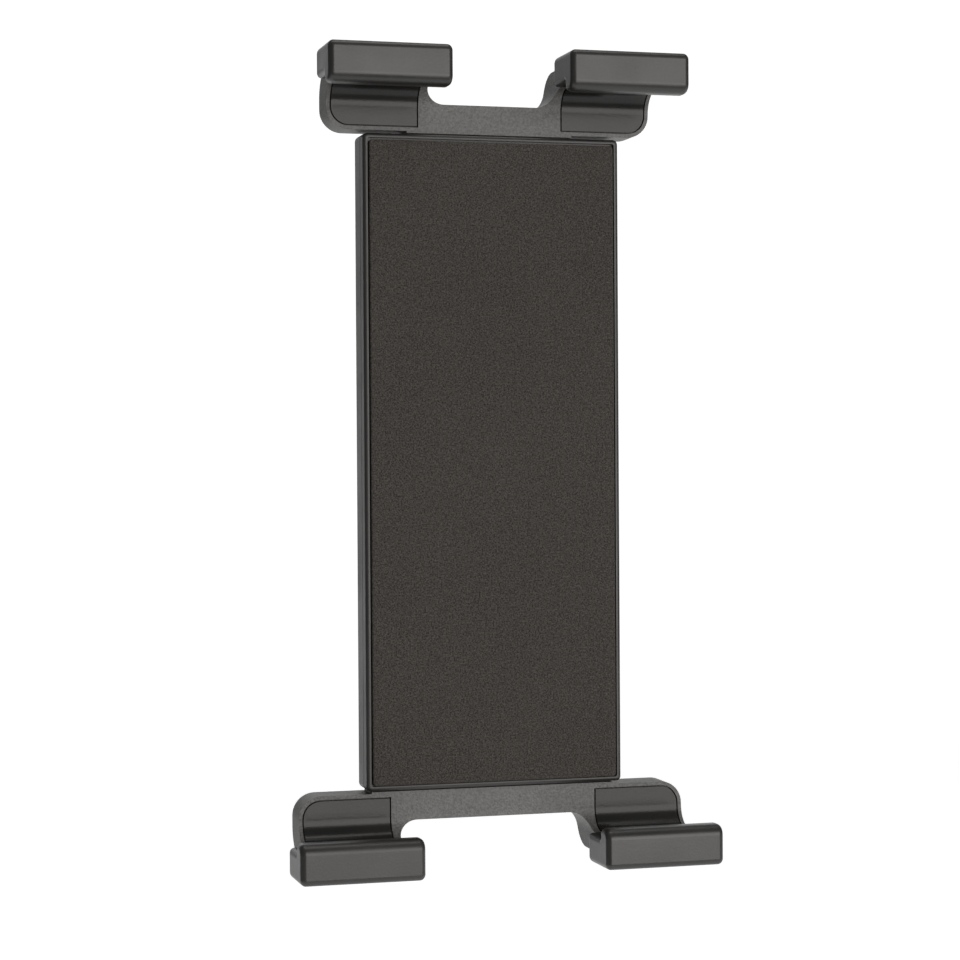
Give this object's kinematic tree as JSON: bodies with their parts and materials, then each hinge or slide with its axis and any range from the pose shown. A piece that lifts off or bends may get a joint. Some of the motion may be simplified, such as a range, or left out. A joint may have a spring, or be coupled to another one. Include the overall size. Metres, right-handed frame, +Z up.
{
  "type": "tablet holder",
  "caption": "Tablet holder for a car: a narrow foam-faced housing with sprung jaws that slide from its ends and grip the tablet's edges with soft hooks.",
  "frame": {"origin": "middle of the bolt pattern on the rear mounting face", "axes": "+Z up along the housing towards the narrower jaw, +Y to the rear out of the mounting face, so the tablet side faces -Y; +X to the right seen from the tablet side"},
  "size_m": [0.1054, 0.0333, 0.1982],
  "materials": {
    "housing": "black moulded plastic with a satin surface",
    "foam": "fine black cellular foam",
    "jaw": "black moulded plastic, finely stippled",
    "grip": "smooth soft black elastomer",
    "pinion": "natural acetal",
    "spring": "bright spring steel",
    "screw": "black zinc",
    "insert": "turned brass"
  },
  "bodies": {
    "housing": {"front_frame": "housing", "foam_pad": "foam", "rear_cover": "housing", "housing_screws": "screw", "mount_inserts": "insert", "upper_spring": "spring", "lower_spring": "spring"},
    "upper_jaw": {"upper_jaw": "jaw", "upper_left_grip": "grip", "upper_right_grip": "grip"},
    "lower_jaw": {"lower_jaw": "jaw", "lower_left_grip": "grip", "lower_right_grip": "grip"},
    "left_pinion": {"left_pinion": "pinion"},
    "right_pinion": {"right_pinion": "pinion"}
  },
  "joints": [
    {"name": "upper_slide", "type": "slide", "parent": "housing", "child": "upper_jaw", "axis": [0, 0, 1], "range_m": [0, 0.034], "stiffness_N_per_m": 250, "springref_m": -0.02, "deforming": ["upper_spring"]},
    {"name": "lower_slide", "type": "slide", "parent": "housing", "child": "lower_jaw", "axis": [0, 0, -1], "range_m": [0, 0.034], "stiffness_N_per_m": 250, "springref_m": -0.02, "deforming": ["lower_spring"]},
    {"name": "right_pinion_spin", "type": "hinge", "parent": "housing", "child": "right_pinion", "pos_m": [0.02225, -0.0093, 0], "axis": [0, 1, 0], "range_deg": [0, 490]},
    {"name": "left_pinion_spin", "type": "hinge", "parent": "housing", "child": "left_pinion", "pos_m": [-0.02225, -0.0093, 0], "axis": [0, -1, 0], "range_deg": [0, 490]}
  ],
  "couplings": [
    {"joint": "lower_slide", "follows": "upper_slide", "ratio": 1},
    {"joint": "right_pinion_spin", "follows": "upper_slide", "rad_per_m": 250},
    {"joint": "left_pinion_spin", "follows": "upper_slide", "rad_per_m": 250}
  ]
}
